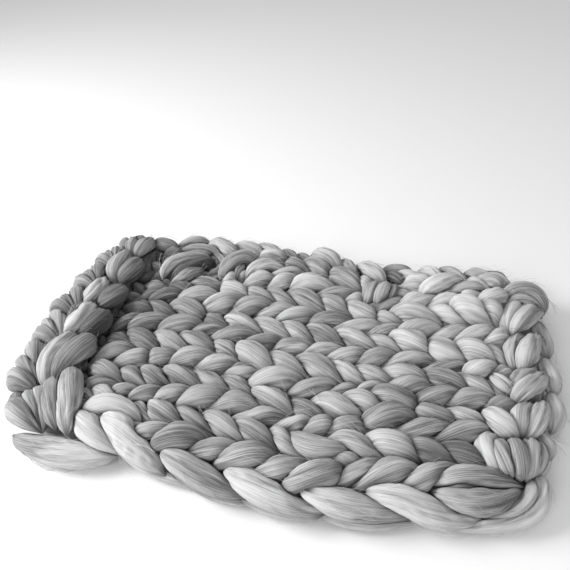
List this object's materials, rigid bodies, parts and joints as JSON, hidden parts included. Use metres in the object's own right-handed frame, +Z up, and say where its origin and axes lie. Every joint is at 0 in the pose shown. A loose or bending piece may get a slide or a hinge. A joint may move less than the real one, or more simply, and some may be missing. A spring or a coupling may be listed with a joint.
{
  "type": "chunky knit blanket",
  "caption": "Small chunky knit blanket in thick wool roving, lying flat with its cast-on edge rolled over and a thick chain along the other end.",
  "frame": {"origin": "centre of the blanket's outline, on the surface it lies on", "axes": "+X along the blanket from the rolled cast-on edge to the bind-off chain, +Y towards the back selvage, +Z up from the flat underside"},
  "size_m": [0.4998, 0.3298, 0.0577],
  "materials": {
    "grey_wool": "matt, soft, with a faint satin gleam along the fibres"
  },
  "bodies": {
    "root": {"knit_blanket": "grey_wool"}
  },
  "joints": []
}
